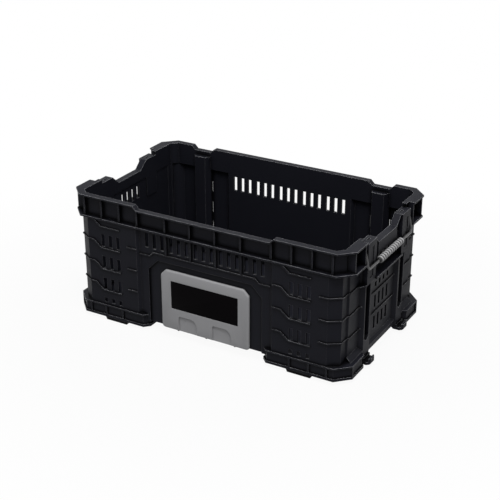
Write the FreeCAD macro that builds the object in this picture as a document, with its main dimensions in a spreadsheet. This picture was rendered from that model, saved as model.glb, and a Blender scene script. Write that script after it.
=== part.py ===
import FreeCAD, Part
import math
import os
import Sketcher

os.makedirs("parts", exist_ok=True)
doc = FreeCAD.newDocument("StackingToolCrate")

# Driving sizes in millimetres. The feet stand on z = 0, the front faces -Y
# and the crate is centred on the Z axis.
SIZES = {
    "rim_length": 560,
    "rim_depth": 325,
    "rim_corner": 24.4,
    "rim_top": 243,
    "flange_thick": 3,
    "end_flange": 20,
    "front_flange": 11.5,
    "inner_corner": 12,
    "rim_wall": 3,
    "rim_band": 42.5,
    "ledge_thick": 3.3,
    "rim_drop": 7.5,
    "front_drop_half": 132.5,
    "back_dip_near": 173.5,
    "back_dip_far": 208.5,
    "pilaster_deep": 12,
    "pilaster_slant": 6,
    "pilaster_top": 227.5,
    "ring_turn": 0.3,
    "ring_back": 0.5,
    "rib_setback": 2.5,
    "rib_thick": 3,
    "wall": 3,
    "centre_setback": 7.5,
    "block_inner": 137,
    "column_run": 39,
    "column_setback": 19,
    "column_turn": 15.5,
    "column_back": 32.5,
    "side_setback": 16,
    "post_setback": 8,
    "post_low_outer": 82,
    "post_low_inner": 57,
    "panel_setback": 15,
    "floor_under": 19.5,
    "floor_thick": 3,
    "cell_pitch": 50.4,
    "slot_width": 7,
    "centre_slot_pitch": 16,
    "centre_slot_low": 167,
    "centre_slot_high": 195.5,
    "block_slot_pitch": 16.3,
    "block_slot_middle": -192.5,
    "block_shift": 382,
    "block_row_top": 161.7,
    "block_row_pitch": 43.3,
    "block_slot_tall": 23.5,
    "low_slot_middle": 42.2,
    "low_slot_tall": 8.8,
    "end_slot_pitch": 16.3,
    "end_slot_tall": 24.5,
    "end_row_high": 179.5,
    "end_row_mid": 100.8,
    "end_row_low": 59.7,
    "end_row_short": 134,
    "end_short_tall": 10,
    "end_rib_high": 121,
    "end_rib_low": 81,
    "ring_level": 160,
    "ring_pitch": 42,
    "ring_thick": 2.2,
    "ring_proud": 2,
    "zig_start": -228.5,
    "zig_slant": 16,
    "zig_low_run": 40.5,
    "zig_drop": 13.6,
    "zig_gap": 72,
    "step_run": 103,
    "step_drop": 8,
    "post_outer": 87,
    "post_inner": 54,
    "post_drop": 7,
    "post_inset": 3.5,
    "post_groove_wide": 13,
    "post_groove_deep": 1,
    "post_groove_stop": 10,
    "post_skin": 2.2,
    "post_side": 3,
    "cap_slot_inset": 13,
    "cap_slot_y": 68,
    "cap_slot_wide": 3,
    "cap_slot_long": 10,
    "channel_inner": 62,
    "channel_outer": 79,
    "channel_deep": 8,
    "channel_low": 48,
    "channel_corner": 6,
    "skirt_top": 33,
    "skirt_proud": 5,
    "channel_high": 156,
    "notch_outer": 97,
    "notch_back": 12,
    "dip_drop": 23,
    "dip_half": 36,
    "dip_lip": 7,
    "lip_half": 38,
    "lip_drop": 45,
    "shelf_drop": 80.5,
    "shelf_thick": 3,
    "foot_inner": 117,
    "foot_end": 84,
    "foot_chamfer": 10,
    "band_under": 8,
    "band_top": 33,
    "band_lip": 5,
    "flare": 8,
    "pad_inner": 163,
    "pad_outer": 215,
    "pad_slope": 4,
    "pad_front": 4,
    "pad_deep": 19,
    "under_rib": 6,
    "hook_middle": 71,
    "hook_width": 26,
    "hook_reach": 6,
    "hook_wall": 3.5,
    "hook_channel": 7.5,
    "hook_floor": 13.5,
    "hook_lip": 19,
    "hook_corner": 6,
    "seat_half": 115,
    "seat_top": 146,
    "seat_corner": 20,
    "seat_depth": 3.5,
    "plate_half": 90,
    "plate_under": 16.5,
    "plate_top": 132.7,
    "plate_thick": 4.5,
    "plate_corner": 11,
    "plate_foot_corner": 6.5,
    "plate_bevel": 2,
    "plate_skin": 2.9,
    "plate_frame": 5,
    "window_half": 68.5,
    "window_low": 59.2,
    "window_high": 113.3,
    "window_depth": 1.2,
    "label_gap": 0.3,
    "label_thick": 0.8,
    "thumb_middle": 35,
    "thumb_half": 19,
    "thumb_top": 46.4,
    "thumb_depth": 1.6,
    "thumb_round": 8,
    "peg_x": 79,
    "peg_low": 36,
    "peg_high": 112,
    "peg_radius": 3,
    "peg_gap": 0.1,
    "wire_radius": 2.25,
    "pin_gap": 0.1,
    "rest_gap": 0.3,
    "pivot_inset": 8.5,
    "pivot_drop": 17.5,
    "leg_y": 90.5,
    "leg_long": 35,
    "pin_end": 78,
    "pin_bend": 3.1,
    "bar_bend": 6,
    "grip_half": 48.3,
    "grip_core_radius": 5,
    "grip_ring_radius": 6,
    "grip_bore_gap": 0.05,
    "grip_ring_pitch": 6,
    "grip_rings": 16,
}

sheet = doc.addObject("Spreadsheet::Sheet", "Params")
for row, (alias, number) in enumerate(SIZES.items(), 1):
    sheet.set(f"A{row}", alias)
    sheet.set(f"B{row}", str(number))
    sheet.setAlias(f"B{row}", alias)
doc.recompute()

# Planes for drawn outlines. Across them lie +Z, -Y and +X.
PLANES = {
    "top": FreeCAD.Rotation(),
    "front": FreeCAD.Rotation(FreeCAD.Vector(1, 0, 0), 90),
    "end": FreeCAD.Rotation(FreeCAD.Vector(1, 1, 1), 120),
}
AXES = {"x": FreeCAD.Vector(1, 0, 0), "y": FreeCAD.Vector(0, 1, 0)}
EIGHTH = f"{math.tan(math.pi / 8):.6f}"
SLANT = f"{math.sqrt(2):.6f}"


def draw(sketch, corners):
    """Closed straight-sided outline with every corner held by a pair of expressions."""
    count = len(corners)
    turn = 2 * math.pi / count
    ring = [FreeCAD.Vector(math.cos(turn * i), math.sin(turn * i), 0) for i in range(count)]
    first = sketch.GeometryCount
    for i in range(count):
        sketch.addGeometry(Part.LineSegment(ring[i] * 100, ring[(i + 1) % count] * 100), False)
    for i in range(count):
        sketch.addConstraint(Sketcher.Constraint("Coincident", first + i, 2, first + (i + 1) % count, 1))
    for i, pair in enumerate(corners):
        for kind, expression in zip(("DistanceX", "DistanceY"), pair):
            number = sketch.addConstraint(Sketcher.Constraint(kind, -1, 1, first + i, 1, 50 + i))
            sketch.setExpression(f"Constraints[{number}]", expression)


def drawn(name, corners, plane):
    """Outline drawn on one of the middle planes."""
    sketch = doc.addObject("Sketcher::SketchObject", name)
    draw(sketch, corners)
    sketch.Placement = FreeCAD.Placement(FreeCAD.Vector(), PLANES[plane])
    return sketch


def carried(name, sketch, plane, low, high):
    """Solid of an outline carried from low to high along the axis across its plane."""
    start, stop = (f"-({high})", f"-({low})") if plane == "front" else (low, high)
    solid = doc.addObject("Part::Extrusion", name)
    solid.Base = sketch
    solid.DirMode = "Normal"
    solid.Solid = True
    solid.setExpression("LengthFwd", stop)
    solid.setExpression("LengthRev", f"-({start})")
    return solid


def prism(name, corners, plane, low, high):
    return carried(name, drawn(name + "Outline", corners, plane), plane, low, high)


def block(name, x, y, z):
    """Box between three pairs of expressions."""
    box = doc.addObject("Part::Box", name)
    for axis, size, (low, high) in zip("xyz", ("Length", "Width", "Height"), (x, y, z)):
        box.setExpression(size, f"({high}) - ({low})")
        box.setExpression(f"Placement.Base.{axis}", low)
    return box


def rod(name, radius, x, y, z):
    """Round bar along Y between a pair of expressions."""
    bar = doc.addObject("Part::Cylinder", name)
    bar.Placement = FreeCAD.Placement(FreeCAD.Vector(), FreeCAD.Rotation(FreeCAD.Vector(1, 0, 0), -90))
    bar.setExpression("Radius", radius)
    bar.setExpression("Height", f"({y[1]}) - ({y[0]})")
    for axis, expression in zip("xyz", (x, y[0], z)):
        bar.setExpression(f"Placement.Base.{axis}", expression)
    return bar


def joined(name, shapes):
    fusion = doc.addObject("Part::MultiFuse", name)
    fusion.Shapes = shapes
    fusion.Refine = False
    return fusion


def cut(name, base, tool):
    result = doc.addObject("Part::Cut", name)
    result.Base = base
    result.Tool = tool
    result.Refine = False
    return result


def grouped(name, shapes):
    compound = doc.addObject("Part::Compound", name)
    compound.Links = shapes
    return compound


def mirrored(name, source, axis):
    copy = doc.addObject("Part::Mirroring", name)
    copy.Source = source
    copy.Base = FreeCAD.Vector()
    copy.Normal = AXES[axis]
    return copy


def front_and_back(name, source):
    return grouped(name, [source, mirrored(name + "Back", source, "y")])


def all_corners(name, source):
    pair = front_and_back(name + "Pair", source)
    return grouped(name, [pair, mirrored(name + "Left", pair, "x")])


def both_ends(name, source):
    return grouped(name, [source, mirrored(name + "Left", source, "x")])


def all_round(quarter):
    """Whole outline from its front right quarter, listed from the front to the end."""
    outline = [(x, f"-({y})") for x, y in quarter]
    outline += [(x, y) for x, y in reversed(quarter)]
    outline += [(f"-({x})", y) for x, y in quarter]
    outline += [(f"-({x})", f"-({y})") for x, y in reversed(quarter)]
    return outline


def about(middle, width):
    """Pair of expressions to either side of a middle."""
    return (f"({middle}) - ({width}) / 2", f"({middle}) + ({width}) / 2")


def rectangle(x, y):
    return [(x[0], y[0]), (x[1], y[0]), (x[1], y[1]), (x[0], y[1])]


# Faces shared by several features, as distances from the middle planes.
half_length = "(Params.rim_length / 2)"
half_depth = "(Params.rim_depth / 2)"
rib_face = f"({half_depth} - Params.rib_setback)"
end_rib_face = f"({half_length} - Params.rib_setback)"
centre_face = f"({half_depth} - Params.centre_setback)"
inner_front = f"({half_depth} - Params.front_flange)"
inner_end = f"({half_length} - Params.end_flange)"
panel_face = f"({half_length} - Params.panel_setback)"
side_face = f"({half_length} - Params.side_setback)"
low_post_face = f"({half_length} - Params.post_setback)"
column_face = f"({half_length} - Params.column_setback)"
block_inside = f"({rib_face} - Params.wall)"
side_inside = f"({side_face} - Params.wall)"
column_inside = f"({column_face} - Params.wall)"
column_start = f"({half_length} - Params.column_run)"
column_turn = f"({half_depth} - Params.column_turn)"
column_back = f"({half_depth} - Params.column_back)"
floor_top = "(Params.floor_under + Params.floor_thick)"
ledge_under = "(Params.rim_top - Params.rim_band)"
ledge_top = f"({ledge_under} + Params.ledge_thick)"
flange_under = "(Params.rim_top - Params.flange_thick)"
drop_top = "(Params.rim_top - Params.rim_drop)"
post_cap = "(Params.rim_top - Params.post_drop)"
dip_top = "(Params.rim_top - Params.dip_drop)"
lip_under = "(Params.rim_top - Params.lip_drop)"
shelf_top = "(Params.rim_top - Params.shelf_drop)"
post_under = f"({shelf_top} - Params.shelf_thick)"
post_face = f"({half_length} - Params.post_inset)"
pivot_x = f"({half_length} - Params.pivot_inset)"
pivot_z = "(Params.rim_top - Params.pivot_drop)"
cap_slot_x = f"({half_length} - Params.cap_slot_inset)"
wide = f"({half_length} * 2)"

# Lower walls: the plan steps from the recessed centre to the corner blocks,
# turns the corner columns and carries the latch posts at each end.
wall_quarter = [
    ("Params.block_inner - (Params.centre_setback - Params.rib_setback)", centre_face),
    ("Params.block_inner", rib_face),
    (column_start, rib_face),
    (column_face, column_turn),
    (column_face, column_back),
    (side_face, f"{column_back} - ({side_face} - {column_face})"),
    (side_face, f"Params.post_low_outer + ({low_post_face} - {side_face})"),
    (low_post_face, "Params.post_low_outer"),
    (low_post_face, "Params.post_low_inner"),
    (panel_face, f"Params.post_low_inner - ({low_post_face} - {panel_face})"),
]
walls = prism("Walls", all_round(wall_quarter), "top", "Params.floor_under", ledge_top)

# Horizontal stiffening ribs round the walls, left off where the slots, the posts
# and the front plate are.
ring_quarter = [
    (f"{x} + {dx} * Params.ring_proud", f"{y} + {dy} * Params.ring_proud")
    for (x, y), dx, dy in zip(
        wall_quarter,
        (EIGHTH, EIGHTH, "Params.ring_turn", "1", "1", "1", "1", "1", "1", "1"),
        ("1", "1", "1", "Params.ring_back", "0", "0", "0", "0", "0", "0"),
    )
]
ring_outline = drawn("RingOutline", all_round(ring_quarter), "top")
ring_parts = []
for index in range(3):
    level = f"(Params.ring_level - {index} * Params.ring_pitch)"
    low, high = about(level, "Params.ring_thick")
    ring_parts.append(carried(f"Ring{index}", ring_outline, "top", low, high))
ring_gaps = [
    block(
        "RingGapEnds",
        (f"-{half_length}", half_length),
        ("-Params.post_outer", "Params.post_outer"),
        ("0", "Params.rim_top"),
    ),
    block(
        "RingGapPlate",
        ("-Params.block_inner", "Params.block_inner"),
        (f"-{half_depth}", "0"),
        ("0", "Params.ring_level - Params.ring_pitch / 2"),
    ),
    block(
        "RingGapCentre",
        ("-Params.block_inner", "Params.block_inner"),
        (f"-{half_depth}", half_depth),
        ("Params.ring_level - Params.ring_pitch / 2", "Params.rim_top"),
    ),
]
for index in range(2):
    start = f"(Params.zig_start + {index} * Params.block_shift)"
    ring_gaps.append(
        block(
            f"RingGapBlock{index}",
            (start, f"{start} + Params.zig_gap"),
            (f"-{half_depth}", half_depth),
            ("0", "Params.rim_top"),
        )
    )
rings = cut("Rings", joined("RingPlates", ring_parts), joined("RingGaps", ring_gaps))

# The top rib steps down to either side of the front and back centres.
step_end = "(Params.block_inner - Params.centre_setback + Params.rib_setback)"
step_turn = "(Params.step_run + Params.step_drop)"
step_low = "(Params.ring_level - Params.step_drop)"
step_half = "Params.ring_thick / 2"
step_right = [
    ("Params.step_run", "Params.ring_level"),
    (step_turn, step_low),
    (step_end, step_low),
]
step_path = [(f"-{x}", z) for x, z in reversed(step_right)] + step_right
step_rib = front_and_back(
    "StepRibs",
    prism(
        "StepRib",
        [(x, f"{z} - {step_half}") for x, z in step_path]
        + [(x, f"{z} + {step_half}") for x, z in reversed(step_path)],
        "front",
        f"-({centre_face} + Params.ring_proud)",
        f"-({centre_face} - Params.wall / 3)",
    ),
)

# Stepped ribs that run down past the slots on each block.
zigs = []
for side in range(2):
    start = f"(Params.zig_start + {side} * Params.block_shift)"
    turn = f"({start} + Params.zig_slant)"
    stop = f"({turn} + Params.zig_low_run)"
    for index in range(4):
        level = f"(Params.ring_level + (1 - {index}) * Params.ring_pitch)"
        dropped = f"({level} - Params.zig_drop)"
        half = "Params.ring_thick / 2"
        corners = [
            (f"{start} - Params.ring_thick", f"{level} + {half}"),
            (f"{start} - Params.ring_thick", f"{level} - {half}"),
            (f"{start} - {half}", f"{level} - {half}"),
            (f"{turn} - {half}", f"{dropped} - {half}"),
            (stop, f"{dropped} - {half}"),
            (stop, f"{dropped} + {half}"),
            (f"{turn} + {half}", f"{dropped} + {half}"),
            (f"{start} + {half}", f"{level} + {half}"),
        ]
        zigs.append(
            prism(
                f"Zig{side}{index}",
                corners,
                "front",
                f"-({rib_face} + Params.ring_proud)",
                f"-({rib_face} - Params.wall / 3)",
            )
        )
zig_pairs = front_and_back("Zigs", grouped("FrontZigs", zigs))

# Rim: flange above, ledge below and a wall between them set back to leave pockets.
rim_outline = all_round(
    [
        (f"{half_length} - Params.rim_corner", half_depth),
        (half_length, f"{half_depth} - Params.rim_corner"),
    ]
)
rim_wall_outline = all_round(
    [
        (
            f"{inner_end} - Params.inner_corner + {EIGHTH} * Params.rim_wall",
            f"{inner_front} + Params.rim_wall",
        ),
        (
            f"{inner_end} + Params.rim_wall",
            f"{inner_front} - Params.inner_corner + {EIGHTH} * Params.rim_wall",
        ),
    ]
)
rim_inner_outline = all_round(
    [
        (f"{inner_end} - Params.inner_corner", inner_front),
        (inner_end, f"{inner_front} - Params.inner_corner"),
    ]
)
rim_solid = prism("RimSolid", rim_outline, "top", ledge_under, "Params.rim_top")
rim_pocket = cut(
    "RimPocket",
    prism("PocketOuter", rim_outline, "top", ledge_top, flange_under),
    prism("PocketCore", rim_wall_outline, "top", ledge_top, flange_under),
)
rim_ring = cut("RimRing", rim_solid, rim_pocket)
rim_ribs = []
for index, position in enumerate(
    (
        "Params.cell_pitch / 2",
        "Params.cell_pitch * 3 / 2",
        "Params.front_drop_half + Params.rib_thick / 2",
        "Params.back_dip_near - Params.rib_thick / 2",
        "Params.back_dip_far + Params.rib_thick / 2",
        f"{column_start} + 2 * Params.rib_thick",
    )
):
    rim_ribs.append(
        block(
            f"RimRib{index}",
            about(position, "Params.rib_thick"),
            (f"-{rib_face}", f"-{inner_front}"),
            (ledge_under, flange_under),
        )
    )
for index, position in enumerate(
    (
        f"{half_depth} - Params.rim_corner - Params.rib_thick / 2",
        "Params.notch_outer + Params.rib_thick / 2",
    )
):
    low, high = about(position, "Params.rib_thick")
    rim_ribs.append(
        block(
            f"RimEndRib{index}",
            (inner_end, end_rib_face),
            (f"-({high})", f"-({low})"),
            (ledge_under, flange_under),
        )
    )
rim_full = joined("RimFull", [rim_ring, all_corners("RimRibs", grouped("RimRibQuarter", rim_ribs))])

# The rim drops along the front, dips twice at the back and opens at each end
# for the latch posts and the bail legs.


def dipped(near, far, level):
    """Line along the rim that falls to a dip by 45 degree ramps, with a drop from its own level."""
    return [
        (f"({near}) - Params.rim_drop", level),
        (near, f"{level} - Params.rim_drop"),
        (far, f"{level} - Params.rim_drop"),
        (f"({far}) + Params.rim_drop", level),
    ]


def dip_opening(name, near, far, y):
    """Space above a dip in the rim."""
    high = "Params.rim_top * 2"
    over = [(f"({far}) + Params.rim_drop", high), (f"({near}) - Params.rim_drop", high)]
    return prism(name, dipped(near, far, "Params.rim_top") + over, "front", y[0], y[1])


def dip_flange(name, near, far, y):
    """Flange that follows a dip in the rim."""
    under = list(reversed(dipped(near, far, flange_under)))
    return prism(name, dipped(near, far, "Params.rim_top") + under, "front", y[0], y[1])


front_span = ("-Params.front_drop_half", "Params.front_drop_half")
back_span = ("Params.back_dip_near", "Params.back_dip_far")
front_opening = dip_opening("FrontDrop", *front_span, (f"-{wide}", "0"))
back_opening = both_ends("BackDips", dip_opening("BackDip", *back_span, ("0", wide)))
end_opening = both_ends(
    "EndOpenings",
    joined(
        "EndOpening",
        [
            block(
                "PostBay",
                (f"{inner_end} + Params.rim_wall", wide),
                ("-Params.post_outer", "Params.post_outer"),
                (f"{ledge_under} - Params.rim_drop", "Params.rim_top * 2"),
            ),
            block(
                "LegBay",
                (f"{half_length} - Params.notch_back", wide),
                ("-Params.notch_outer", "Params.notch_outer"),
                (f"{ledge_under} - Params.rim_drop", "Params.rim_top * 2"),
            ),
            prism(
                "DipBay",
                [
                    ("-Params.post_outer", post_cap),
                    ("-Params.post_inner", post_cap),
                    ("-Params.dip_half", dip_top),
                    ("Params.dip_half", dip_top),
                    ("Params.post_inner", post_cap),
                    ("Params.post_outer", post_cap),
                    ("Params.post_outer", "Params.rim_top * 2"),
                    ("-Params.post_outer", "Params.rim_top * 2"),
                ],
                "end",
                f"{inner_end} - Params.rim_wall",
                wide,
            ),
        ],
    ),
)
rim_open = cut("RimOpen", rim_full, grouped("RimOpenings", [front_opening, back_opening, end_opening]))
front_flange = dip_flange("FrontFlange", *front_span, (f"-{half_depth}", f"-{inner_front}"))
back_flange = both_ends("BackFlanges", dip_flange("BackFlange", *back_span, (inner_front, half_depth)))

# Hollow pilasters inside the back wall below the dips.


def pilaster_corners(inset):
    """Pilaster in plan, drawn in from its inner faces."""
    return [
        (f"Params.back_dip_near + {inset}", f"{block_inside} + Params.wall / 3"),
        (f"Params.back_dip_near + {inset}", inner_front),
        (
            f"Params.back_dip_near + Params.pilaster_slant + {inset}",
            f"{inner_front} - Params.pilaster_deep + {inset}",
        ),
        (
            f"Params.back_dip_far - Params.pilaster_slant - {inset}",
            f"{inner_front} - Params.pilaster_deep + {inset}",
        ),
        (f"Params.back_dip_far - {inset}", inner_front),
        (f"Params.back_dip_far - {inset}", f"{block_inside} + Params.wall / 3"),
    ]


pilaster_under = "(Params.floor_under + Params.floor_thick / 2)"
pilasters = both_ends(
    "Pilasters",
    cut(
        "Pilaster",
        prism("PilasterBody", pilaster_corners("0"), "top", pilaster_under, "Params.pilaster_top"),
        prism(
            "PilasterHollow",
            pilaster_corners("Params.wall"),
            "top",
            floor_top,
            "Params.pilaster_top - Params.flange_thick",
        ),
    ),
)

# Latch bay at each end: two hollow posts, a dipped grip rail with a hanging lip
# and a shelf under the handle.
band_ledge = "(Params.band_top - Params.flange_thick)"
rail_face = f"({half_length} - Params.dip_lip)"
rail_under = [
    ("Params.post_inner", f"{post_cap} - Params.flange_thick"),
    ("Params.dip_half", f"{dip_top} - Params.flange_thick"),
    ("-Params.dip_half", f"{dip_top} - Params.flange_thick"),
    ("-Params.post_inner", f"{post_cap} - Params.flange_thick"),
]
rail_over = [
    ("-Params.post_inner", post_cap),
    ("-Params.dip_half", dip_top),
    ("Params.dip_half", dip_top),
    ("Params.post_inner", post_cap),
]
rail = prism("Rail", rail_over + rail_under, "end", inner_end, rail_face)
lip = prism(
    "RailLip",
    rectangle(("-Params.lip_half", "Params.lip_half"), (lip_under, dip_top)),
    "end",
    f"{rail_face} - Params.wall",
    rail_face,
)
shelf = block(
    "Shelf",
    (f"{panel_face} - Params.wall", half_length),
    ("-Params.post_inner", "Params.post_inner"),
    (f"{shelf_top} - Params.shelf_thick", shelf_top),
)
post = cut(
    "Post",
    block(
        "PostBox",
        (inner_end, post_face),
        ("-Params.post_outer", "-Params.post_inner"),
        (post_under, post_cap),
    ),
    joined(
        "PostHollow",
        [
            block(
                "PostCavity",
                (f"{inner_end} + Params.rim_wall", f"{post_face} - Params.post_skin"),
                (
                    "-(Params.post_outer - Params.post_side)",
                    "-(Params.post_inner + Params.post_side)",
                ),
                ("0", f"{post_cap} - Params.flange_thick"),
            ),
            block(
                "CapSlot",
                about(cap_slot_x, "Params.cap_slot_wide"),
                about("-Params.cap_slot_y", "Params.cap_slot_long"),
                (dip_top, "Params.rim_top"),
            ),
            block(
                "PostGroove",
                (f"{post_face} - Params.post_groove_deep", half_length),
                about("-Params.hook_middle", "Params.post_groove_wide"),
                (
                    f"{post_under} + Params.post_groove_stop",
                    f"{post_cap} - Params.post_groove_stop",
                ),
            ),
            rod(
                "PivotHole",
                "Params.wire_radius + Params.pin_gap",
                pivot_x,
                ("-Params.notch_outer", "-Params.channel_outer"),
                pivot_z,
            ),
        ],
    ),
)
posts = all_corners("Posts", post)
end_ribs = []
for index, level in enumerate(("Params.end_rib_high", "Params.end_rib_low")):
    end_ribs.append(
        block(
            f"EndRib{index}",
            (f"{panel_face} - Params.wall / 2", f"{panel_face} + Params.ring_proud"),
            ("-Params.post_low_inner", "Params.post_low_inner"),
            about(level, "Params.ring_thick"),
        )
    )
skirt_face = f"({panel_face} + Params.skirt_proud)"
skirt = prism(
    "Skirt",
    [
        (f"{panel_face} - Params.wall / 2", "Params.floor_under"),
        (skirt_face, "Params.floor_under"),
        (skirt_face, "Params.skirt_top - Params.skirt_proud"),
        (panel_face, "Params.skirt_top"),
        (f"{panel_face} - Params.wall / 2", "Params.skirt_top"),
    ],
    "front",
    "-Params.post_low_inner",
    "Params.post_low_inner",
)
latch_bays = both_ends("LatchBays", joined("LatchBay", [rail, lip, shelf, skirt] + end_ribs))

# Small shelf that carries the top rib round each post.
post_shelves = all_corners(
    "PostShelves",
    prism(
        "PostShelf",
        [
            (side_inside, "-(Params.post_outer + Params.column_turn)"),
            (f"{side_face} + Params.ring_proud", "-(Params.post_outer + Params.column_turn)"),
            (post_face, "-(Params.post_outer + Params.ring_proud)"),
            (post_face, "-Params.post_low_outer"),
            (side_inside, "-Params.post_low_outer"),
        ],
        "top",
        *about("Params.ring_level", "Params.ring_thick"),
    ),
)

# Flared foot of the side panels over the base ledge.
flare = prism(
    "Flare",
    [
        (f"{side_face} - Params.wall / 2", "Params.band_top + Params.flare"),
        (f"{side_face} - Params.wall / 2", band_ledge),
        (f"{side_face} + Params.flare", band_ledge),
        (f"{side_face} + Params.flare", "Params.band_top"),
        (side_face, "Params.band_top + Params.flare"),
    ],
    "front",
    f"-{column_back}",
    "-Params.post_low_outer",
)
flares = all_corners("Flares", flare)

# Upright ribs over the recessed centre of the front and back.
centre_ribs = []
for index in (1, 3):
    centre_ribs.append(
        block(
            f"CentreRib{index}",
            about(f"{index} * Params.cell_pitch / 2", "Params.rib_thick"),
            (f"-({centre_face} + Params.wall)", f"-{inner_front}"),
            ("Params.ring_level", ledge_under),
        )
    )
centre_rib_set = all_corners("CentreRibs", grouped("CentreRibPair", centre_ribs))

# Corner feet: hollow below, with a ledge above, a lip below and short ribs between.


def foot_corners(inset):
    """Front right foot in plan, drawn in from its outer edge."""
    return [
        (
            f"Params.foot_inner + {inset}",
            f"-({half_depth} - Params.foot_chamfer - {EIGHTH} * {inset})",
        ),
        (
            f"Params.foot_inner + Params.foot_chamfer + {EIGHTH} * {inset}",
            f"-({half_depth} - {inset})",
        ),
        (f"{half_length} - Params.rim_corner - {EIGHTH} * {inset}", f"-({half_depth} - {inset})"),
        (f"{half_length} - {inset}", f"-({half_depth} - Params.rim_corner - {EIGHTH} * {inset})"),
        (
            f"{half_length} - {inset}",
            f"-(Params.foot_end + Params.foot_chamfer + {EIGHTH} * {inset})",
        ),
        (
            f"{half_length} - Params.foot_chamfer - {EIGHTH} * {inset}",
            f"-(Params.foot_end + {inset})",
        ),
        (f"Params.foot_inner + {inset}", f"-(Params.foot_end + {inset})"),
    ]


foot_shell = cut(
    "FootShell",
    joined(
        "FootBody",
        [
            prism("FootBand", foot_corners("Params.rib_setback"), "top", "Params.band_under", band_ledge),
            prism("FootLedge", foot_corners("0"), "top", band_ledge, "Params.band_top"),
            prism(
                "FootLip",
                foot_corners("0"),
                "top",
                "Params.band_under",
                "Params.band_under + Params.band_lip",
            ),
        ],
    ),
    prism(
        "FootHollow",
        foot_corners("(Params.rib_setback + Params.wall)"),
        "top",
        "0",
        band_ledge,
    ),
)
foot_parts = [foot_shell]
for index, position in enumerate(
    (
        "Params.back_dip_near - Params.rib_thick / 2",
        "Params.back_dip_far",
        f"{column_start} + Params.rib_thick / 2",
    )
):
    foot_parts.append(
        block(
            f"FootRib{index}",
            about(position, "Params.rib_thick"),
            (f"-{half_depth}", "-(Params.foot_end + Params.rib_setback)"),
            ("Params.band_under + Params.band_lip / 2", "Params.floor_under + Params.floor_thick / 2"),
        )
    )
    foot_parts.append(
        block(
            f"FootFin{index}",
            about(position, "Params.rib_thick"),
            (f"-{half_depth}", f"-{block_inside}"),
            ("Params.band_under + Params.band_lip / 2", band_ledge),
        )
    )
low, high = about(f"{half_depth} - Params.rim_corner - Params.rib_thick / 2", "Params.rib_thick")
foot_parts.append(
    block(
        "FootEndRib",
        (column_inside, half_length),
        (f"-({high})", f"-({low})"),
        ("Params.band_under + Params.band_lip / 2", band_ledge),
    )
)
pad_face = f"({half_depth} - Params.pad_front)"
pad_back = f"({half_depth} - Params.pad_front - Params.pad_deep)"
foot_parts.append(
    cut(
        "Pad",
        prism(
            "PadBody",
            [
                ("Params.pad_inner", "Params.floor_under + Params.floor_thick / 2"),
                ("Params.pad_inner", "Params.band_under"),
                ("Params.pad_inner + Params.pad_slope", "0"),
                ("Params.pad_outer - Params.pad_slope", "0"),
                ("Params.pad_outer", "Params.band_under"),
                ("Params.pad_outer", "Params.floor_under + Params.floor_thick / 2"),
            ],
            "front",
            f"-{pad_face}",
            f"-{pad_back}",
        ),
        block(
            "PadHollow",
            (
                "Params.pad_inner + Params.pad_slope + Params.wall",
                "Params.pad_outer - Params.pad_slope - Params.wall",
            ),
            (f"-({pad_face} - Params.wall)", f"-({pad_back} + Params.wall)"),
            ("-Params.band_under", "Params.floor_under"),
        ),
    )
)
feet = all_corners("Feet", joined("Foot", foot_parts))

# Ribs under the floor between the feet.
under_low = "Params.floor_under - Params.under_rib"
under_high = "Params.floor_under + Params.floor_thick / 2"
under_ribs = [
    block(
        "UnderSpine",
        (f"-{side_inside}", side_inside),
        about("0", "Params.rib_thick"),
        (under_low, under_high),
    )
]
for index in range(-1, 2):
    under_ribs.append(
        block(
            f"UnderCross{index + 1}",
            about(f"{index} * Params.foot_inner / 2", "Params.rib_thick"),
            (f"-{inner_front}", inner_front),
            (under_low, under_high),
        )
    )

# Hooks at each end that take the wire of a latch from below.
hook_face = f"({half_length} + Params.hook_reach)"
hook_inner = f"({hook_face} - Params.hook_wall)"
hook_root = f"({hook_inner} - Params.hook_channel)"
hook_low, hook_high = about("Params.hook_middle", "Params.hook_width")
hook_plan = prism(
    "HookPlan",
    [
        (side_face, f"-({hook_high})"),
        (f"{hook_face} - Params.hook_corner", f"-({hook_high})"),
        (hook_face, f"-({hook_high} - Params.hook_corner)"),
        (hook_face, f"-({hook_low} + Params.hook_corner)"),
        (f"{hook_face} - Params.hook_corner", f"-({hook_low})"),
        (side_face, f"-({hook_low})"),
    ],
    "top",
    "0",
    "Params.hook_lip",
)
hook_body = doc.addObject("Part::MultiCommon", "HookBody")
hook_body.Shapes = [
    hook_plan,
    prism(
        "HookProfile",
        [
            (side_face, "Params.hook_lip"),
            (side_face, "Params.band_under + Params.hook_wall"),
            (f"{side_face} + Params.hook_wall", "Params.band_under"),
            (f"{hook_face} - Params.wall / 2", "Params.band_under"),
            (hook_face, "Params.band_under + Params.wall / 2"),
            (hook_face, "Params.hook_lip"),
            (hook_inner, "Params.hook_lip"),
            (hook_inner, "Params.hook_floor"),
            (hook_root, "Params.hook_floor"),
            (hook_root, "Params.hook_lip"),
        ],
        "front",
        f"-({hook_high})",
        f"-({hook_low})",
    ),
]
hook = cut(
    "Hook",
    hook_body,
    block(
        "HookHollow",
        (f"{side_face} + Params.hook_wall", hook_inner),
        (f"-({hook_high} - Params.hook_corner)", f"-({hook_low} + Params.hook_corner)"),
        ("0", "Params.hook_floor - Params.wall"),
    ),
)
hooks = all_corners("Hooks", hook)

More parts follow.
